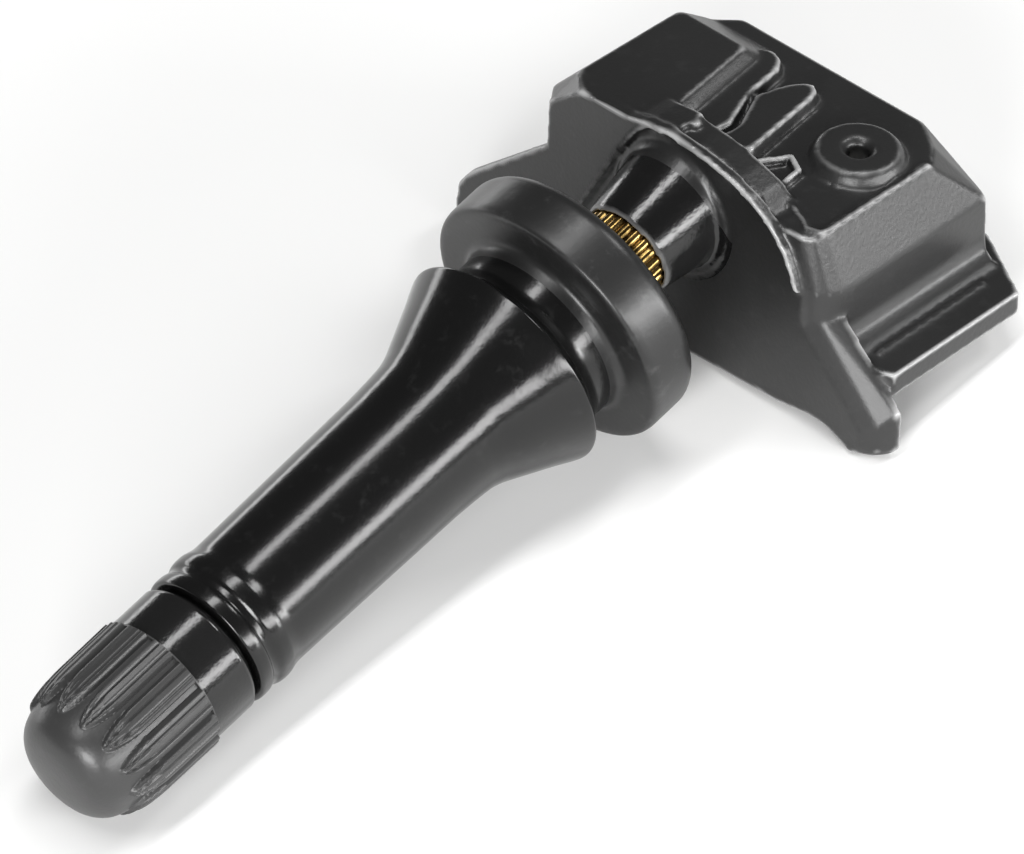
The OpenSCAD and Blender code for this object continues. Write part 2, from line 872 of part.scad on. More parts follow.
// Ferrite of the wake-up coil
module coil_core() {
  color("#2e2e30")
    rest()
      translate([plate_back + 1.3, 4.6, board_top + 3.2]) {
        cube([1, 3.4, 2.6]);
        translate([5.4, 0, 0])
          cube([1, 3.4, 2.6]);
        translate([1, 0.9, 0.5])
          cube([4.4, 1.6, 1.6]);
      }
}

// Winding of the wake-up coil
module coil_winding() {
  color("#a65f2e")
    rest()
      translate([plate_back + 2.3, 4.6, board_top + 3.2])
        difference() {
          translate([0, 0.4, 0])
            cube([4.4, 2.6, 2.6]);
          translate([-1, 0.9, 0.5])
            cube([7, 1.6, 1.6]);
        }
}

// Stamped strip antenna on the board's right edge
module rf_antenna() {
  color("#c8b070")
    rest()
      translate([plate_back + 1, -box_half + wall + 0.4, board_top]) {
        cube([0.8, 0.3, 2.4]);
        translate([9.6, 0, 0])
          cube([0.8, 0.3, 2.4]);
        translate([0, 0, 1.9])
          cube([10.4, 0.3, 0.9]);
      }
}

// Crystal can
module crystal() {
  color("#d0d2d4")
    rest()
      translate([plate_back + 1.2, -7.2, board_top])
        cube([2.5, 3.2, 0.8]);
}

// Six small chip capacitors
module capacitors() {
  color("#8a6b4a")
    rest()
      for (i = [0:2], j = [0:1])
        translate([plate_back + 1.2 + j * 1.6, -3.4 + i * 1.1, board_top])
          cube([1, 0.5, 0.5]);
}

// Cast resin that closes the open side
module potting() {
  color("#26282b")
    rest()
      cavity(brim_under + 0.2, board_under);
}

valve_body();
valve_stem();
core_plug();
core_barrel_seal();
core_pin();
core_spring();
core_plunger();
core_poppet_seal();
valve_cap();
cap_gasket();
housing();
circuit_board();
battery_cell();
battery_tab_positive();
battery_tab_negative();
sensor_chip();
port_seal();
port_membrane();
coil_core();
coil_winding();
rf_antenna();
crystal();
capacitors();
potting();
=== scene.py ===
import json
import math

import bmesh
import bpy
from mathutils import Matrix, Vector


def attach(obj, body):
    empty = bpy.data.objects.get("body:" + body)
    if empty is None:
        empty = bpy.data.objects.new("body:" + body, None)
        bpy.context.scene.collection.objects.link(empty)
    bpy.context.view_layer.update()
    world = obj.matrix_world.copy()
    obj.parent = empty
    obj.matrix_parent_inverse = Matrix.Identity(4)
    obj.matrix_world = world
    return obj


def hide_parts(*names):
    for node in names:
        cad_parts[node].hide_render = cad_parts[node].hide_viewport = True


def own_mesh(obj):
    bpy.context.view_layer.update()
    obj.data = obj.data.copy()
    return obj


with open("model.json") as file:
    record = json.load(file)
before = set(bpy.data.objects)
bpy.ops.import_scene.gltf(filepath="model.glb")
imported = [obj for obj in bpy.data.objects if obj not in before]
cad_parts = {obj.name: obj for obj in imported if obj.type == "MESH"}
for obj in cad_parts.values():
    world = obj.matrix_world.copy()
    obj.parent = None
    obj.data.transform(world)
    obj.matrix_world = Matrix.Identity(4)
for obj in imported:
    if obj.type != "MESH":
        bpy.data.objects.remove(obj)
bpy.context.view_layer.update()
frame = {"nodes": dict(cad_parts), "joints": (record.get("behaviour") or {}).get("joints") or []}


# Camera and studio.
# The sensor lies on a white table under soft boxes, seen from its cap end, from the front right.
# The camera is far away with a long lens, so the shapes stay almost without perspective.

bpy.context.scene.view_settings.view_transform = "Standard"
camera = bpy.data.objects.new("camera", bpy.data.cameras.new("camera"))
bpy.context.scene.collection.objects.link(camera)
bpy.context.scene.camera = camera
camera.data.sensor_width = 36
camera.data.lens = 345.63
camera.data.clip_start = 0.01

# This place and this turn were fitted to the photograph.
camera.location = (-0.309715, -0.3337, 0.457005)
camera.rotation_euler = [math.radians(a) for a in (45.18946, 3.83332, -47.07096)]


def new_material(name):
    """An empty node material, with its node tree and its shader."""
    made = bpy.data.materials.new(name)
    made.use_nodes = True
    return made, made.node_tree, made.node_tree.nodes["Principled BSDF"]


# The table's own glow is seen by the camera and in reflections only. It lights nothing.
table_half = 1.5
table_white = (0.86, 0.86, 0.855, 1)
table_glow = (0.05, 0.05, 0.05, 1)
table_mesh = bpy.data.meshes.new("table")
table_corners = [
    (-table_half, -table_half, 0), (table_half, -table_half, 0),
    (table_half, table_half, 0), (-table_half, table_half, 0),
]
table_mesh.from_pydata(table_corners, [], [(0, 1, 2, 3)])
table = bpy.data.objects.new("table", table_mesh)
bpy.context.scene.collection.objects.link(table)
table_material, tree, shader = new_material("table white")
shader.inputs["Base Color"].default_value = table_white
shader.inputs["Roughness"].default_value = 0.8
shader.inputs["Specular IOR Level"].default_value = 0.2
light_path = tree.nodes.new("ShaderNodeLightPath")
seen = tree.nodes.new("ShaderNodeMath")
seen.operation = "ADD"
seen.use_clamp = True
tree.links.new(light_path.outputs["Is Camera Ray"], seen.inputs[0])
tree.links.new(light_path.outputs["Is Glossy Ray"], seen.inputs[1])
tree.links.new(seen.outputs["Value"], shader.inputs["Emission Strength"])
shader.inputs["Emission Color"].default_value = table_glow
table.data.materials.append(table_material)

# The room is dim for the object, and white paper for the camera.
room_light = 0.10
paper_white = 1.0
world = bpy.data.worlds.new("studio")
bpy.context.scene.world = world
world.use_nodes = True
tree = world.node_tree
room = tree.nodes["Background"]
room.inputs["Color"].default_value = (1, 1, 1, 1)
room.inputs["Strength"].default_value = room_light
paper = tree.nodes.new("ShaderNodeBackground")
paper.inputs["Strength"].default_value = paper_white
light_path = tree.nodes.new("ShaderNodeLightPath")
choose = tree.nodes.new("ShaderNodeMixShader")
tree.links.new(light_path.outputs["Is Camera Ray"], choose.inputs["Fac"])
tree.links.new(room.outputs["Background"], choose.inputs[1])
tree.links.new(paper.outputs["Background"], choose.inputs[2])
tree.links.new(choose.outputs["Shader"], tree.nodes["World Output"].inputs["Surface"])


def soft_box(name, place, aim, width, height, radiance):
    """A rectangular lamp at place that faces aim, equally bright whatever its size."""
    lamp = bpy.data.lights.new(name, "AREA")
    lamp.shape = "RECTANGLE"
    lamp.size = width
    lamp.size_y = height
    lamp.energy = radiance * math.pi * width * height
    box = bpy.data.objects.new(name, lamp)
    bpy.context.scene.collection.objects.link(box)
    box.location = place
    box.rotation_euler = (Vector(aim) - Vector(place)).to_track_quat("-Z", "Y").to_euler()


# The strips give the streaks along the rubber, and the boxes the bright faces of the housing.
soft_box("strip_over", (-0.075, 0.03, 0.90), (-0.075, 0.03, 0), 1.05, 0.15, 11.0)
soft_box("strip_front", (0.065, -0.85, 0.235), (0.065, 0, 0.02), 0.97, 0.19, 13.0)
soft_box("strip_back", (0.15, 0.90, 0.06), (0.15, 0, 0.03), 0.90, 0.12, 5.0)
soft_box("box_cap_end", (-0.71, -0.37, 0.30), (0.02, -0.015, 0.005), 0.36, 0.32, 17.0)
soft_box("box_side", (0.51, -0.68, 0.08), (0.03, -0.01, 0.01), 0.30, 0.15, 15.0)
soft_box("box_behind", (0.57, -0.21, 0.60), (0.025, 0, 0.015), 0.18, 0.18, 12.0)


# Brass stem.
# Turned from brass bar: a 7.7 mm rolled thread at the mouth, a barbed middle that the rubber is
# bonded round, and a splined neck with cross holes that carries the sensor's housing.

mm = 0.001
mouth_at = -43.6
thread_pitch = 0.794
thread_depth = 0.42
thread_start = mouth_at + 0.3
thread_end = -33.5
thread_run_out = 0.4
thread_flank_slope = 2.6
thread_crest_flat = 0.15
spline_count = 24
spline_depth = 0.3
spline_start = 4.6
spline_end = 8.5
spline_flank_slope = 2.4
spline_crest_flat = 0.5
stem_bore_limit = 3.1
stem_steps = 192
threaded_corners = 6
stem_profile = [
    (mouth_at + 5.2, 0.0), (mouth_at + 5.2, 2.62), (mouth_at, 2.62), (mouth_at, 3.4),
    (mouth_at + 0.5, 3.85), (-33.4, 3.85), (-33.1, 3.35), (-31.3, 3.35), (-30.9, 3.65),
    (-29.5, 3.65), (-29.1, 3.1), (-12, 3.1), (-9, 3.85), (-7.4, 3.85), (-7, 3.25), (-4.5, 3.25),
    (-2, 4.2), (1.6, 4.2), (2, 3.2), (9, 3.2), (9.4, 2.8), (11, 2.8), (11.2, 2.3), (12.4, 2.3),
    (12.6, 2.8), (14.2, 2.8), (14.2, 0),
]

# Every piece of the valve is round about one axis, which leans up a little from the cap to the
# sensor. Such a piece is made along +Z with z = 0 at the flange's front face, then laid there.
pin_joint = next(j for j in frame["joints"] if j["name"] == "pin_press")
cap_joint = next(j for j in frame["joints"] if j["name"] == "cap_turn")
valve_axis = Vector(pin_joint["axis"]).normalized()
flange_centre = Vector(cap_joint["pos_m"]) - valve_axis * mouth_at * mm
lean = math.atan2(valve_axis.z, valve_axis.x)
valve_frame = Matrix.Translation(flange_centre) @ Matrix.Rotation(math.pi / 2 - lean, 4, "Y")


def node_maker(tree):
    """A short way to add nodes and wire their inputs in one call."""
    def make(kind, inputs=(), **settings):
        node = tree.nodes.new(kind)
        for key, value in settings.items():
            setattr(node, key, value)
        for key, value in dict(inputs).items():
            if isinstance(value, bpy.types.NodeSocket):
                tree.links.new(value, node.inputs[key])
            else:
                node.inputs[key].default_value = value
        return node
    return make


def bare_metal(name, colour, roughness, tarnish_and_shade_share=0.3, bare_and_glint=(0.0, 1.0)):
    """Bare metal: fine marks from the tool, and a noise that darkens some of it and leaves the rest
    bright.

    With the defaults the darkening is a tarnish that comes and goes. With a small dark share and a
    narrow range of the noise, most of the metal is a painted shade and the bright rest painted glints.
    The last argument holds the values of the noise at which the metal starts to show and is bright.
    """
    made, tree, shader = new_material(name)
    make = node_maker(tree)
    place = make("ShaderNodeTexCoord").outputs["Object"]
    tarnish_shade_and_glint_noise = make("ShaderNodeTexNoise", {"Vector": place, "Scale": 700.0, "Detail": 5.0}).outputs["Fac"]
    # Low noise darkens the metal: tarnish, and on the stem a painted shade. High noise leaves it bright:
    # bare metal, and on the stem painted glints.
    bare_and_glint_mask = make("ShaderNodeMapRange", {"Value": tarnish_shade_and_glint_noise, "From Min": bare_and_glint[0], "From Max": bare_and_glint[1]})
    dark = [c * tarnish_and_shade_share for c in colour[:3]] + [1]
    mix = make("ShaderNodeMix", {
        "Factor": bare_and_glint_mask.outputs["Result"], "A": dark, "B": colour,
    }, data_type="RGBA")
    tree.links.new(mix.outputs["Result"], shader.inputs["Base Color"])
    spread = make("ShaderNodeMapRange", {
        "Value": tarnish_shade_and_glint_noise, "To Min": roughness * 1.5, "To Max": roughness * 0.7,
    })
    tree.links.new(spread.outputs["Result"], shader.inputs["Roughness"])
    marks = make("ShaderNodeTexNoise", {"Vector": place, "Scale": 9000.0, "Detail": 2.0})
    bump = make("ShaderNodeBump", {
        "Height": marks.outputs["Fac"], "Strength": 0.15, "Distance": 0.00002,
    })
    tree.links.new(bump.outputs["Normal"], shader.inputs["Normal"])
    shader.inputs["Metallic"].default_value = 1.0
    return made


def new_tree(name, **sockets):
    """A Geometry Nodes tree with a geometry way in and out, and a named input for each socket."""
    tree = bpy.data.node_groups.new(name, "GeometryNodeTree")
    tree.interface.new_socket("Geometry", in_out="OUTPUT", socket_type="NodeSocketGeometry")
    tree.interface.new_socket("Geometry", in_out="INPUT", socket_type="NodeSocketGeometry")
    for label, kind in sockets.items():
        words = label.replace("_", " ").capitalize()
        tree.interface.new_socket(words, in_out="INPUT", socket_type="NodeSocket" + kind)
    return tree, tree.nodes.new("NodeGroupInput"), tree.nodes.new("NodeGroupOutput")


def close_tree(tree, way_in, way_out, shape):
    """Ends a tree: its shape is made real and given the Material input."""
    make = node_maker(tree)
    real = make("GeometryNodeRealizeInstances", {"Geometry": shape})
    dressed = make("GeometryNodeSetMaterial", {
        "Geometry": real.outputs[0], "Material": way_in.outputs["Material"],
    })
    tree.links.new(dressed.outputs[0], way_out.inputs[0])


def set_inputs(modifier, **values):
    """Sets a Geometry Nodes modifier's inputs by their sockets' identifiers."""
    for item in modifier.node_group.interface.items_tree:
        if item.item_type == "SOCKET" and item.in_out == "INPUT":
            key = item.name.lower().replace(" ", "_")
            if key in values:
                modifier[item.identifier] = values[key]


def maths_maker(make):
    """A short way to add Math nodes: the operation's name, then its two numbers or sockets."""
    def maths(operation, a, b=0.0, clamp=False):
        return make("ShaderNodeMath", {0: a, 1: b}, operation=operation, use_clamp=clamp).outputs[0]
    return maths


def finely(profile, longest):
    """The same profile with its long stretches cut into steps of at most longest millimetres."""
    fine = [profile[0]]
    for a, b in zip(profile, profile[1:]):
        count = max(1, math.ceil((Vector(b) - Vector(a)).length / longest))
        fine += [tuple(Vector(a).lerp(Vector(b), (i + 1) / count)) for i in range(count)]
    return fine


def lathe(name, profile, steps):
    """An object turned from a profile of (station, radius); radius 0 makes a pole."""
    shape = bmesh.new()
    rings = []
    for station, radius in profile:
        count = steps if radius > 1e-6 else 1
        turns = [2 * math.pi * i / steps for i in range(count)]
        rings.append([
            shape.verts.new((radius * mm * math.cos(t), radius * mm * math.sin(t), station * mm))
            for t in turns
        ])
    for low, high in zip(rings, rings[1:]):
        for i in range(steps):
            j = (i + 1) % steps
            corners = [low[i % len(low)], low[j % len(low)], high[j % len(high)], high[i % len(high)]]
            loop = [c for n, c in enumerate(corners) if c not in corners[:n]]
            if len(loop) > 2:
                shape.faces.new(loop)
    if len(rings[0]) > 1 and len(rings[-1]) > 1:
        for i in range(steps):
            j = (i + 1) % steps
            shape.faces.new([rings[-1][i], rings[-1][j], rings[0][j], rings[0][i]])
    bmesh.ops.recalc_face_normals(shape, faces=shape.faces)
    mesh = bpy.data.meshes.new(name)
    shape.to_mesh(mesh)
    shape.free()
    made = bpy.data.objects.new(name, mesh)
    bpy.context.scene.collection.objects.link(made)
    return made


def plain_mesh(made):
    """Turns what the object's modifiers make into its own mesh, and removes them."""
    graph = bpy.context.evaluated_depsgraph_get()
    mesh = bpy.data.meshes.new_from_object(made.evaluated_get(graph))
    mesh.name = made.name
    made.modifiers.clear()
    made.data = mesh


def laid_on_axis(made, sharp_degrees):
    """Lays a turned piece on the valve's axis and shades it, with its sharp edges left sharp."""
    made.data.transform(valve_frame)
    made.data.shade_smooth()
    made.data.set_sharp_from_angle(angle=math.radians(sharp_degrees))


# The stem's brass is mostly a painted shade, a small share of its colour, with bright patches that are
# painted glints.
stem_brass = bare_metal("stem brass", (0.44, 0.29, 0.10, 1), 0.20, 0.14, (0.42, 0.64))

# The rolled thread and the splines are cut into the turned bar by moving its points inward.
tree, way_in, way_out = new_tree(
    "rolled thread and splines", pitch="Float", depth="Float", start="Float", end="Float",
    splines="Float", spline_depth="Float", spline_start="Float", spline_end="Float",
    material="Material",
)
make = node_maker(tree)
maths = maths_maker(make)
given = way_in.outputs
spot = make("GeometryNodeInputPosition").outputs[0]
x, y, z = make("ShaderNodeSeparateXYZ", {0: spot}).outputs
flat = make("ShaderNodeCombineXYZ", {0: x, 1: y}).outputs[0]
radius = make("ShaderNodeVectorMath", {0: flat}, operation="LENGTH").outputs["Value"]
angle = maths("ARCTAN2", y, x)
turns = maths("DIVIDE", angle, 2 * math.pi)
helix = maths("ADD", maths("DIVIDE", z, given["Pitch"]), turns)
wave = maths("PINGPONG", helix, 0.5)
flank = maths("SUBTRACT", maths("MULTIPLY", wave, thread_flank_slope), thread_crest_flat, clamp=True)
ease_in = maths("DIVIDE", maths("SUBTRACT", z, given["Start"]), thread_run_out * mm, clamp=True)
ease_out = maths("DIVIDE", maths("SUBTRACT", given["End"], z), thread_run_out * mm, clamp=True)
on_outside = maths("GREATER_THAN", radius, stem_bore_limit * mm)
threaded = maths("MULTIPLY", maths("MULTIPLY", ease_in, ease_out), on_outside)
thread_cut = maths("MULTIPLY", maths("MULTIPLY", flank, given["Depth"]), threaded)
teeth = maths("PINGPONG", maths("MULTIPLY", turns, given["Splines"]), 0.5)
past_start = maths("GREATER_THAN", z, given["Spline start"])
before_end = maths("LESS_THAN", z, given["Spline end"])
notch = maths("SUBTRACT", maths("MULTIPLY", teeth, spline_flank_slope), spline_crest_flat, clamp=True)
notch_depth = maths("MULTIPLY", notch, given["Spline depth"])
spline_cut = maths("MULTIPLY", notch_depth, maths("MULTIPLY", past_start, before_end))
inward = maths("MULTIPLY", maths("ADD", thread_cut, spline_cut), -1.0)
moved_by = make("ShaderNodeCombineXYZ", {
    0: maths("MULTIPLY", maths("COSINE", angle), inward),
    1: maths("MULTIPLY", maths("SINE", angle), inward),
}).outputs[0]
cut = make("GeometryNodeSetPosition", {"Geometry": given["Geometry"], "Offset": moved_by})
close_tree(tree, way_in, way_out, cut.outputs[0])

threaded_part = finely(stem_profile[:threaded_corners], longest=0.1)
plain_part = finely(stem_profile[threaded_corners - 1:], longest=0.4)[1:]
stem = lathe("stem_turned", threaded_part + plain_part, stem_steps)
rolling = stem.modifiers.new("thread", "NODES")
rolling.node_group = tree
set_inputs(
    rolling, pitch=thread_pitch * mm, depth=thread_depth * mm, start=thread_start * mm,
    end=thread_end * mm, splines=float(spline_count), spline_depth=spline_depth * mm,
    spline_start=spline_start * mm, spline_end=spline_end * mm, material=stem_brass,
)
plain_mesh(stem)
laid_on_axis(stem, sharp_degrees=50)
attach(stem, "valve")
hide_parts("valve_stem")


# Rubber valve body.
# Moulded round the stem in black rubber: two rings at the lip under the cap, a tapered shaft, the
# cone and shoulder that pop through the rim's hole, the groove for the rim, and the flange.

rubber_profile = [
    (4.2, 4.2), (4.2, 8.75), (3.9, 9.3), (3.3, 9.6), (0.5, 9.6), (0.12, 9.45), (0, 9.1), (0, 7.0),
    (-0.3, 6.6), (-0.9, 6.5), (-2.4, 6.5), (-3.2, 6.75), (-3.7, 7.5), (-3.9, 7.9), (-4.1, 8.05),
    (-4.4, 7.95), (-6.1, 7.15), (-8.5, 6.1), (-9.6, 5.62), (-10.6, 5.36), (-12, 5.24),
    (-13.9, 5.14), (-28.3, 4.9), (-29.0, 4.9), (-29.5, 5.0), (-29.9, 5.12), (-30.5, 5.12),
    (-30.8, 5.04), (-31.05, 4.84), (-31.45, 4.83), (-31.7, 5.0), (-32.5, 5.02), (-32.7, 4.85),
    # The last points carry the lip on as a thin rubber sleeve over the stem, up to the cap's rim: dark
    # rubber put there as painted shade, so the slit under the cap shows no brass.
    (-32.7, 4.2), (-32.95, 4.1), (-32.95, 3.4),
]
rubber_steps = 128
flange_zone = (-1.0, 5.0, 12.0, 0.34, 3.0)


def eased(profile, reach, parts=4):
    """A profile with its inner corners rounded, reach millimetres each way."""
    soft = [profile[0]]
    for before, corner, after in zip(profile, profile[1:], profile[2:]):
        b, c, a = Vector(before), Vector(corner), Vector(after)
        back = min(reach, (c - b).length * 0.45)
        ahead = min(reach, (a - c).length * 0.45)
        start = c + (b - c).normalized() * back
        end = c + (a - c).normalized() * ahead
        for i in range(parts + 1):
            s = i / parts
            soft.append(tuple(start.lerp(c, s).lerp(c.lerp(end, s), s)))
    soft.append(profile[-1])
    return soft


def grain_group():
    """A group for moulded skins: a fine pitting, broad cloudiness, and a mask of pale scuffs."""
    tree = bpy.data.node_groups.new("moulded skin", "ShaderNodeTree")
    for label in ("Pit size", "Pit depth", "Scuffs", "Cloud size"):
        tree.interface.new_socket(label, in_out="INPUT", socket_type="NodeSocketFloat")
    for label, kind in (("Cloud", "Float"), ("Scuff", "Float"), ("Normal", "Vector")):
        tree.interface.new_socket(label, in_out="OUTPUT", socket_type="NodeSocket" + kind)
    make = node_maker(tree)
    way_in = tree.nodes.new("NodeGroupInput")
    way_out = tree.nodes.new("NodeGroupOutput")
    given = way_in.outputs
    place = make("ShaderNodeTexCoord").outputs["Object"]
    pits = make("ShaderNodeTexNoise", {
        "Vector": place, "Scale": given["Pit size"], "Detail": 3.0, "Roughness": 0.6,
    })
    bump = make("ShaderNodeBump", {
        "Height": pits.outputs["Fac"], "Distance": given["Pit depth"], "Strength": 1.0,
    })
    cloud = make("ShaderNodeTexNoise", {
        "Vector": place, "Scale": given["Cloud size"], "Detail": 5.0,
    })
    spots = make("ShaderNodeTexNoise", {
        "Vector": place, "Scale": 700.0, "Detail": 8.0, "Roughness": 0.7,
    })
    edge = make("ShaderNodeMapRange", {
        "Value": spots.outputs["Fac"], "From Min": 0.56, "From Max": 0.74,
    })
    scuff = make("ShaderNodeMath", {0: edge.outputs[0], 1: given["Scuffs"]}, operation="MULTIPLY")
    tree.links.new(cloud.outputs["Fac"], way_out.inputs["Cloud"])
    tree.links.new(scuff.outputs[0], way_out.inputs["Scuff"])
    tree.links.new(bump.outputs["Normal"], way_out.inputs["Normal"])
    return tree


moulded_skin = grain_group()


def zone_mask(make, start, end, reach):
    """1 between two stations along the valve's axis, out to a radius, and 0 elsewhere."""
    maths = maths_maker(make)
    place = make("ShaderNodeTexCoord").outputs["Object"]
    off = make("ShaderNodeVectorMath", {0: place, 1: flange_centre}, operation="SUBTRACT").outputs[0]
    along = make("ShaderNodeVectorMath", {0: off, 1: valve_axis}, operation="DOT_PRODUCT")
    aside = make("ShaderNodeVectorMath", {0: off, 1: valve_axis}, operation="CROSS_PRODUCT")
    radius = make("ShaderNodeVectorMath", {0: aside.outputs[0]}, operation="LENGTH")
    past = maths("GREATER_THAN", along.outputs["Value"], start * mm)
    before = maths("LESS_THAN", along.outputs["Value"], end * mm)
    within = maths("LESS_THAN", radius.outputs["Value"], reach * mm)
    return maths("MULTIPLY", maths("MULTIPLY", past, before), within)


def grey(level):
    """A grey colour of one level."""
    return (level, level, level, 1)


def moulded(
    name, colour, pale, roughness, pit_size=3000.0, pit_depth=0.00001, scuffs=0.1, cloud_size=90.0,
    zone=None,
):
    """A moulded rubber or plastic: dark base, paler where scuffed, a grain, and a cloudy gloss.

    zone is a stretch of the valve's axis, from one station to another and out to a radius, with
    its own roughness and its own share of the colour.
    """
    made, tree, shader = new_material(name)
    make = node_maker(tree)
    maths = maths_maker(make)
    skin = make("ShaderNodeGroup", node_tree=moulded_skin)
    skin.inputs["Pit size"].default_value = pit_size
    skin.inputs["Pit depth"].default_value = pit_depth
    skin.inputs["Scuffs"].default_value = scuffs
    skin.inputs["Cloud size"].default_value = cloud_size
    worn = make("ShaderNodeMix", {
        "Factor": skin.outputs["Scuff"], "A": colour, "B": pale,
    }, data_type="RGBA")
    skin_colour = worn.outputs["Result"]
    level = roughness
    if zone:
        start, end, reach, zone_roughness, zone_share = zone
        inside = zone_mask(make, start, end, reach)
        level = make("ShaderNodeMapRange", {
            "Value": inside, "To Min": roughness, "To Max": zone_roughness,
        }).outputs[0]
        share = make("ShaderNodeMapRange", {
            "Value": inside, "To Min": 1.0, "To Max": zone_share,
        }).outputs[0]
        scaled = make("ShaderNodeVectorMath", {0: skin_colour, "Scale": share}, operation="SCALE")
        skin_colour = scaled.outputs[0]
    tree.links.new(skin_colour, shader.inputs["Base Color"])
    gloss = make("ShaderNodeMapRange", {
        "Value": skin.outputs["Cloud"], "From Min": 0.3, "From Max": 0.7,
        "To Min": 0.85, "To Max": 1.2,
    })
    tree.links.new(maths("MULTIPLY", gloss.outputs[0], level), shader.inputs["Roughness"])
    tree.links.new(skin.outputs["Normal"], shader.inputs["Normal"])
    return made


valve_rubber = moulded(
    "valve rubber", grey(0.004), grey(0.045), roughness=0.17,
    pit_size=2600.0, pit_depth=0.000008, scuffs=0.25, zone=flange_zone,
)
rubber_outline = finely(eased(rubber_profile, reach=0.35), longest=0.8)
rubber = lathe("rubber_body", rubber_outline, rubber_steps)
laid_on_axis(rubber, sharp_degrees=60)
rubber.data.materials.append(valve_rubber)
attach(rubber, "valve")
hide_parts("valve_body")


# Valve core.
# A turned brass plug, pin and cup with a white barrel seal and a soft poppet seal. It is screwed
# into the stem's mouth as one unit, and is kept shut by its spring.

core_brass = bare_metal("core brass", (0.74, 0.56, 0.27, 1), 0.24)
seal_white = moulded("core seal", (0.70, 0.68, 0.62, 1), (0.8, 0.78, 0.72, 1), roughness=0.45)
soft_rubber = moulded("soft rubber", grey(0.03), grey(0.08), roughness=0.55, pit_size=2500.0, scuffs=0.2)
cad_nodes = frame["nodes"]


def finish_node(name, material):
    """Gives a CAD node its finish."""
    slots = cad_nodes[name].material_slots
    for slot in slots:
        slot.material = material
    if not slots:
        cad_nodes[name].data.materials.append(material)


for name in ("core_plug", "core_pin", "core_plunger"):
    finish_node(name, core_brass)
finish_node("core_barrel_seal", seal_white)
finish_node("core_poppet_seal", soft_rubber)


# Core spring.
# Wound from steel wire round the pin, between the pin's collar and the plug's shoulder. In the
# valve it gets shorter as the pin is pressed in; here it is wound at its resting length.

spring_start = mouth_at + 6.15
spring_end = mouth_at + 10.95
spring_turns = 5.5
spring_radius = 0.95
spring_wire = 0.15
spring_steel = bare_metal("spring steel", (0.55, 0.55, 0.56, 1), 0.25)

tree, way_in, way_out = new_tree(
    "coil spring", turns="Float", turn_radius="Float", wire_radius="Float", start="Float",
    length="Float", material="Material",
)
make = node_maker(tree)
given = way_in.outputs
path = make("GeometryNodeCurveSpiral", {
    "Resolution": 48, "Rotations": given["Turns"], "Start Radius": given["Turn radius"],
    "End Radius": given["Turn radius"], "Height": given["Length"],
})
wire = make("GeometryNodeCurvePrimitiveCircle", {"Resolution": 12, "Radius": given["Wire radius"]})
coil = make("GeometryNodeCurveToMesh", {
    "Curve": path.outputs["Curve"], "Profile Curve": wire.outputs["Curve"], "Fill Caps": True,
})
to_start = make("ShaderNodeCombineXYZ", {2: given["Start"]}).outputs[0]
placed = make("GeometryNodeSetPosition", {"Geometry": coil.outputs[0], "Offset": to_start})
close_tree(tree, way_in, way_out, placed.outputs[0])

spring = bpy.data.objects.new("spring_coil", bpy.data.meshes.new("spring_coil"))
bpy.context.scene.collection.objects.link(spring)
winding = spring.modifiers.new("winding", "NODES")
winding.node_group = tree
set_inputs(
    winding, turns=spring_turns, turn_radius=spring_radius * mm, wire_radius=spring_wire * mm,
    start=(spring_start + spring_wire) * mm, material=spring_steel,
    length=(spring_end - spring_start - 2 * spring_wire) * mm,
)
plain_mesh(spring)
laid_on_axis(spring, sharp_degrees=60)
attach(spring, "valve")
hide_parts("core_spring")
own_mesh(spring)


# Screw cap.
# Moulded in black plastic: a domed end, fourteen grip lobes of three ribs each with arched noses
# and blunt ends, and a polished plain band at the open end. A soft disc in it seals on the stem.

cap_open = -33.1
cap_end = -46.6
lobe_count = 14
lobe_phase = 3.0
lobe_nose = cap_end + 2.2
lobe_tail = cap_open - 3.75
lobe_nose_length = 3.125
lobe_nose_fullness = 0.45
lobe_nose_step = 0.35
lobe_half_width = 0.41
lobe_wall_slope = 11.0
lobe_height = 0.48
lobe_steps = 32
groove_offset = 0.15
groove_flank_slope = 16.0
groove_depth = 0.15
cap_bore_limit = 4.1
inside_corners = 5
grip_corners = 9
cap_profile = [
    (-44.2, 0.0), (-44.2, 3.9), (cap_open, 3.95), (cap_open, 4.7), (cap_open - 0.3, 4.95),
    (lobe_tail + 0.04, 4.95), (lobe_tail, 4.95), (lobe_tail - 0.04, 4.72), (cap_end + 5.0, 4.68),
    (cap_end + 3.6, 4.62), (cap_end + 2.6, 4.5), (cap_end + 1.9, 4.32), (cap_end + 1.3, 4.04),
    (cap_end + 0.85, 3.66), (cap_end + 0.5, 3.2), (cap_end + 0.25, 2.6), (cap_end + 0.1, 1.85),
    (cap_end + 0.02, 0.95), (cap_end, 0),
]
band_zone = (lobe_tail + 0.1, cap_open + 1, 6.0, 0.13, 0.25)
cap_plastic = moulded(
    "cap plastic", grey(0.034), grey(0.10), roughness=0.34,
    pit_size=3600.0, pit_depth=0.000012, scuffs=0.2, zone=band_zone,
)

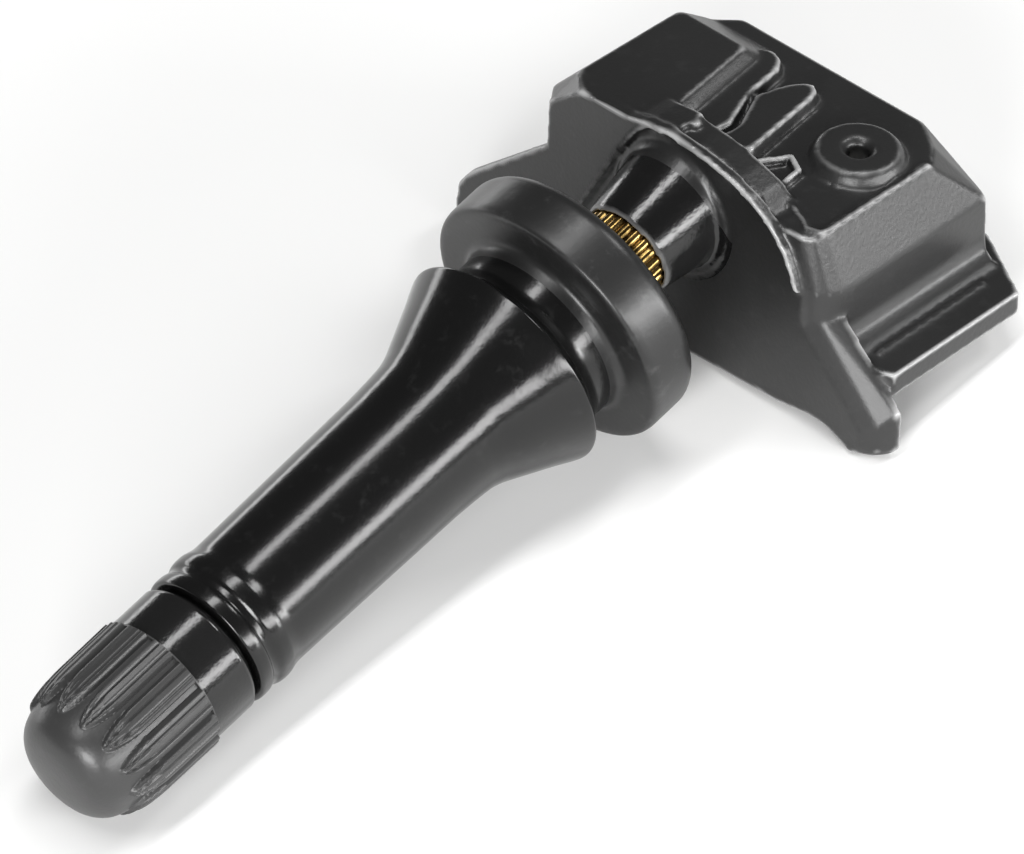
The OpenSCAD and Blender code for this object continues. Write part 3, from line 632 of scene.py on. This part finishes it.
# A lobe is a rise of the cap's wall with an arched nose, and two grooves make three ribs of it.
# Widths and slopes go by shares of the pitch from lobe to lobe.
tree, way_in, way_out = new_tree(
    "grip lobes", lobes="Float", phase="Float", nose="Float", tail="Float", height="Float",
    groove_depth="Float", material="Material",
)
make = node_maker(tree)
maths = maths_maker(make)
given = way_in.outputs
spot = make("GeometryNodeInputPosition").outputs[0]
x, y, z = make("ShaderNodeSeparateXYZ", {0: spot}).outputs
flat = make("ShaderNodeCombineXYZ", {0: x, 1: y}).outputs[0]
radius = make("ShaderNodeVectorMath", {0: flat}, operation="LENGTH").outputs["Value"]
angle = maths("SUBTRACT", maths("ARCTAN2", y, x), given["Phase"])
share = maths("MULTIPLY", maths("DIVIDE", angle, 2 * math.pi), given["Lobes"])
across = maths("SUBTRACT", maths("FRACT", share), 0.5)
beside = maths("ABSOLUTE", across)
past_nose = maths("SUBTRACT", z, given["Nose"])
opening = maths("DIVIDE", past_nose, lobe_nose_length * mm, clamp=True)
left_over = maths("POWER", maths("SUBTRACT", 1.0, opening), 2.0)
swell = maths("POWER", maths("SUBTRACT", 1.0, left_over), lobe_nose_fullness)
half_width = maths("MULTIPLY", swell, lobe_half_width)
wall = maths("MULTIPLY", maths("SUBTRACT", half_width, beside), lobe_wall_slope, clamp=True)
before_tail = maths("LESS_THAN", z, given["Tail"])
after_nose = maths("GREATER_THAN", past_nose, 0.0)
on_outside = maths("GREATER_THAN", radius, cap_bore_limit * mm)
kept = maths("MULTIPLY", maths("MULTIPLY", before_tail, after_nose), on_outside)
round_wall = maths("SINE", maths("MULTIPLY", wall, math.pi / 2))
full_height = maths("ADD", lobe_nose_step, maths("MULTIPLY", swell, 1.0 - lobe_nose_step))
rise = maths("MULTIPLY", maths("MULTIPLY", round_wall, given["Height"]), full_height)
groove_at = maths("MULTIPLY", swell, groove_offset)
off_groove = maths("ABSOLUTE", maths("SUBTRACT", beside, groove_at))
groove = maths("SUBTRACT", 1.0, maths("MULTIPLY", off_groove, groove_flank_slope), clamp=True)
dip = maths("MULTIPLY", maths("MULTIPLY", groove, given["Groove depth"]), wall)
lift = maths("MULTIPLY", maths("SUBTRACT", rise, dip), kept)
outward = make("ShaderNodeVectorMath", {0: flat}, operation="NORMALIZE").outputs[0]
moved_by = make("ShaderNodeVectorMath", {0: outward, "Scale": lift}, operation="SCALE").outputs[0]
moved = make("GeometryNodeSetPosition", {"Geometry": given["Geometry"], "Offset": moved_by})
close_tree(tree, way_in, way_out, moved.outputs[0])

cap_inside = finely(cap_profile[:inside_corners], longest=0.8)
cap_grip = finely(cap_profile[inside_corners - 1:grip_corners], longest=0.16)[1:]
cap_dome = finely(eased(cap_profile[grip_corners - 1:], reach=0.4), longest=0.16)[1:]
cap = lathe("cap_shell", cap_inside + cap_grip + cap_dome, lobe_count * lobe_steps)
gripping = cap.modifiers.new("grip", "NODES")
gripping.node_group = tree
set_inputs(
    gripping, lobes=float(lobe_count), phase=math.radians(lobe_phase), nose=lobe_nose * mm,
    tail=(lobe_tail - 0.02) * mm, height=lobe_height * mm, groove_depth=groove_depth * mm,
    material=cap_plastic,
)
plain_mesh(cap)
laid_on_axis(cap, sharp_degrees=40)
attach(cap, "cap")
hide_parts("valve_cap")
finish_node("cap_gasket", soft_rubber)


# Sensor housing.
# Injection moulded in glass-filled black plastic with a satin skin, and a painted highlight along
# its edges. Its edges have small radii, so the sharp model is filled with a fine grid of cells and
# smoothed.

cell_size = 0.16
smoothing_passes = 9
faces_kept = 0.5
edge_reach = 8
least_bend = 0.035
most_bend = 0.085
plastic_ior = 1.58
collar_zone = (7.0, 12.5, 5.3, 0.16, 0.4)
housing_plastic = moulded(
    "housing plastic", grey(0.014), grey(0.05), roughness=0.33,
    pit_depth=0.000016, scuffs=0.25, cloud_size=60.0, zone=collar_zone,
)
tree = housing_plastic.node_tree
make = node_maker(tree)
shader = tree.nodes["Principled BSDF"]
shader.inputs["IOR"].default_value = plastic_ior
# The edges' pale colour is a painted highlight; their lower roughness makes them glossier.
edge_highlight = make("ShaderNodeAttribute", attribute_name="rubbed edge").outputs["Fac"]
for key, edge_highlight_value, kind in (("Base Color", grey(0.38), "RGBA"), ("Roughness", 0.25, "FLOAT")):
    socket = shader.inputs[key]
    mixed = make("ShaderNodeMix", data_type=kind)
    tree.links.new(edge_highlight, mixed.inputs["Factor"])
    tree.links.new(socket.links[0].from_socket, mixed.inputs["A"])
    mixed.inputs["B"].default_value = edge_highlight_value
    tree.links.new(mixed.outputs["Result"], socket)

# A point that stands out from the mean of its neighbours lies on an edge, and gets a painted
# highlight, a pale colour, and a lower roughness.
tree, way_in, way_out = new_tree(
    "painted edge highlights", reach="Int", least_bend="Float", most_bend="Float", material="Material",
)
make = node_maker(tree)
given = way_in.outputs
spot = make("GeometryNodeInputPosition").outputs[0]
blurred = make("GeometryNodeBlurAttribute", {"Iterations": given["Reach"]}, data_type="FLOAT_VECTOR")
tree.links.new(spot, next(i for i in blurred.inputs if i.enabled and i.type == "VECTOR"))
mean = next(o for o in blurred.outputs if o.enabled)
stand = make("ShaderNodeVectorMath", {0: spot, 1: mean}, operation="SUBTRACT").outputs[0]
facing = make("GeometryNodeInputNormal").outputs[0]
bend = make("ShaderNodeVectorMath", {0: stand, 1: facing}, operation="DOT_PRODUCT").outputs["Value"]
mask = make("ShaderNodeMapRange", {
    "Value": bend, "From Min": given["Least bend"], "From Max": given["Most bend"],
}).outputs[0]
marked = make("GeometryNodeStoreNamedAttribute", {
    "Geometry": given["Geometry"], "Name": "rubbed edge", "Value": mask,
}, data_type="FLOAT", domain="POINT")
close_tree(tree, way_in, way_out, marked.outputs[0])

housing = bpy.data.objects.new("housing_shell", cad_nodes["housing"].data.copy())
bpy.context.scene.collection.objects.link(housing)
shape = bmesh.new()
shape.from_mesh(housing.data)
bmesh.ops.remove_doubles(shape, verts=shape.verts, dist=1e-6)
shape.to_mesh(housing.data)
shape.free()
cells = housing.modifiers.new("cells", "REMESH")
cells.mode = "VOXEL"
cells.voxel_size = cell_size * mm
smooth = housing.modifiers.new("smooth", "SMOOTH")
smooth.factor = 0.5
smooth.iterations = smoothing_passes
fewer = housing.modifiers.new("fewer", "DECIMATE")
fewer.ratio = faces_kept
edges = housing.modifiers.new("edges", "NODES")
edges.node_group = tree
set_inputs(
    edges, reach=edge_reach, least_bend=least_bend * mm, most_bend=most_bend * mm,
    material=housing_plastic,
)
plain_mesh(housing)
housing.data.materials.clear()
housing.data.materials.append(housing_plastic)
housing.data.shade_smooth()
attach(housing, "valve")
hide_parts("housing")


# Electronics and cast resin.
# A lacquered board with a coin cell, the pressure chip, a wake-up coil, a strip antenna and small
# parts. They lie in the housing's box and are closed in by a cast of dark resin on the open side.

board_green = moulded(
    "board lacquer", (0.015, 0.10, 0.045, 1), (0.03, 0.16, 0.08, 1), roughness=0.35,
    pit_size=2000.0, pit_depth=0.000008, scuffs=0.3,
)
cell_steel = bare_metal("cell steel", (0.60, 0.61, 0.62, 1), 0.22)
tab_nickel = bare_metal("tab nickel", (0.58, 0.57, 0.54, 1), 0.3)
chip_black = moulded("chip body", (0.02, 0.02, 0.022, 1), grey(0.06), roughness=0.5, pit_size=4000.0)
seal_grey = moulded("grey silicone", (0.12, 0.13, 0.14, 1), grey(0.2), roughness=0.5, pit_size=2500.0)
membrane_white = moulded(
    "membrane", (0.75, 0.75, 0.72, 1), (0.85, 0.85, 0.82, 1), roughness=0.7,
    pit_size=6000.0, pit_depth=0.00002, scuffs=0.2,
)
ferrite = moulded(
    "ferrite", (0.05, 0.05, 0.055, 1), grey(0.1), roughness=0.6, pit_size=3500.0, pit_depth=0.00002,
)
copper = bare_metal("lacquered copper", (0.62, 0.26, 0.10, 1), 0.3)
capacitor_tan = moulded("capacitor body", (0.30, 0.20, 0.11, 1), (0.4, 0.3, 0.2, 1), roughness=0.5)
antenna_strip = bare_metal("antenna strip", (0.66, 0.52, 0.30, 1), 0.3)
resin_black = moulded(
    "cast resin", (0.020, 0.021, 0.023, 1), grey(0.05), roughness=0.22,
    pit_size=300.0, pit_depth=0.00004, scuffs=0.2,
)
electronics = {
    "circuit_board": board_green, "battery_cell": cell_steel,
    "battery_tab_positive": tab_nickel, "battery_tab_negative": tab_nickel,
    "sensor_chip": chip_black, "port_seal": seal_grey, "port_membrane": membrane_white,
    "coil_core": ferrite, "coil_winding": copper, "rf_antenna": antenna_strip,
    "crystal": tab_nickel, "capacitors": capacitor_tan, "potting": resin_black,
}
for name, material in electronics.items():
    finish_node(name, material)
